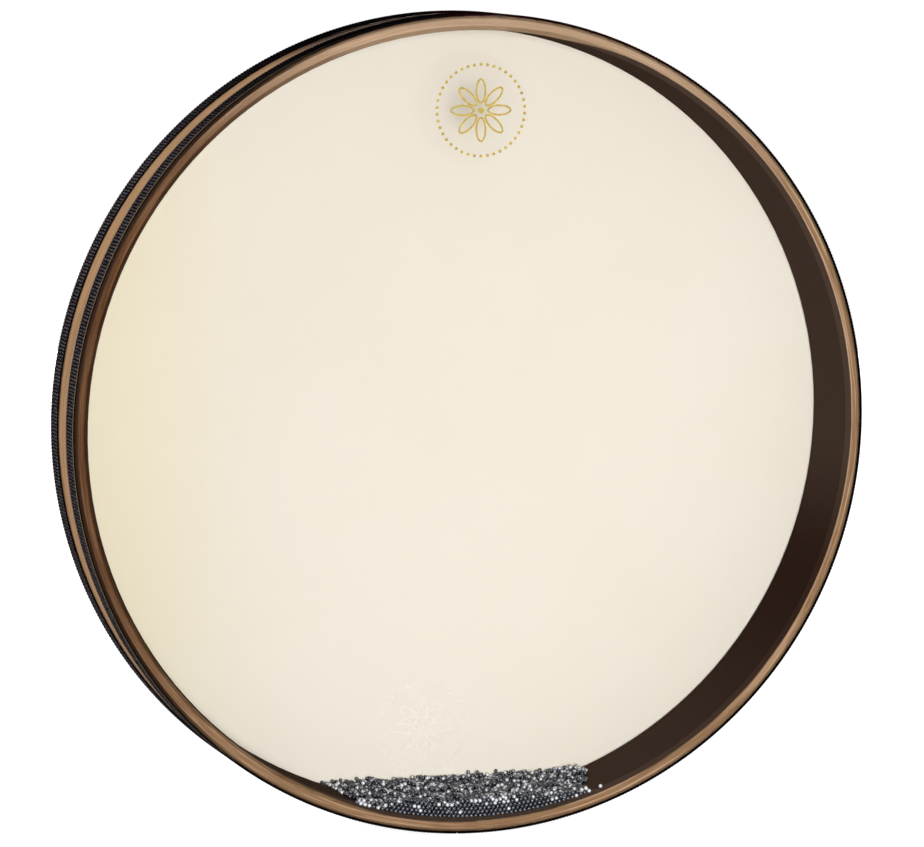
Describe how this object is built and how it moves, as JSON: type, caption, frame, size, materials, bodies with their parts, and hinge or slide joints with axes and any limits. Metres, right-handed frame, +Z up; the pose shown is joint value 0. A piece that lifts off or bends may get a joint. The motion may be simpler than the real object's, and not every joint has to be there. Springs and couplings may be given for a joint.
{
  "type": "ocean drum",
  "caption": "Shallow round frame drum with a clear and a cream film head, ribbon bands and loose steel shot that rolls inside its wooden shell.",
  "frame": {"origin": "middle of the drum, halfway between the heads on the shell's axis", "axes": "+Y along the drum's axis towards the cream rear head, -Y out of the clear front head, +Z up, with the shot at the lowest point of the rim along -Z"},
  "size_m": [0.562, 0.0698, 0.562],
  "materials": {
    "outer_wood": "satin lacquer on light tan veneer",
    "core_wood": "sanded ply edge",
    "core_wood_red": "sanded ply edge, redder",
    "stained_wood": "matte dark brown stain",
    "clear_film": "clear glossy film",
    "cream_film": "satin cream film with faint mottling",
    "black_ribbon": "ribbed black ribbon",
    "steel_shot": "smooth blued steel balls"
  },
  "bodies": {
    "drum": {"outer_ply": "outer_wood", "core_ply_1": "core_wood", "core_ply_2": "core_wood_red", "core_ply_3": "core_wood", "inner_ply": "stained_wood", "front_head": "clear_film", "front_head_collar": "clear_film", "rear_head": "cream_film", "rear_head_collar": "cream_film", "front_band": "black_ribbon", "rear_band": "black_ribbon"},
    "shot": {"shot_bed": "steel_shot", "front_shot_rows": "steel_shot", "loose_shot_left": "steel_shot", "loose_shot_right": "steel_shot", "shot_clump": "steel_shot"},
    "stray": {"stray_ball": "steel_shot"}
  },
  "joints": [
    {"name": "shot_roll", "type": "hinge", "parent": "drum", "child": "shot", "pos_m": [0, 0, 0], "axis": [0, 1, 0], "continuous": true},
    {"name": "stray_roll", "type": "hinge", "parent": "shot", "child": "stray", "pos_m": [0, 0, 0], "axis": [0, -1, 0], "range_deg": [0, 318]}
  ]
}
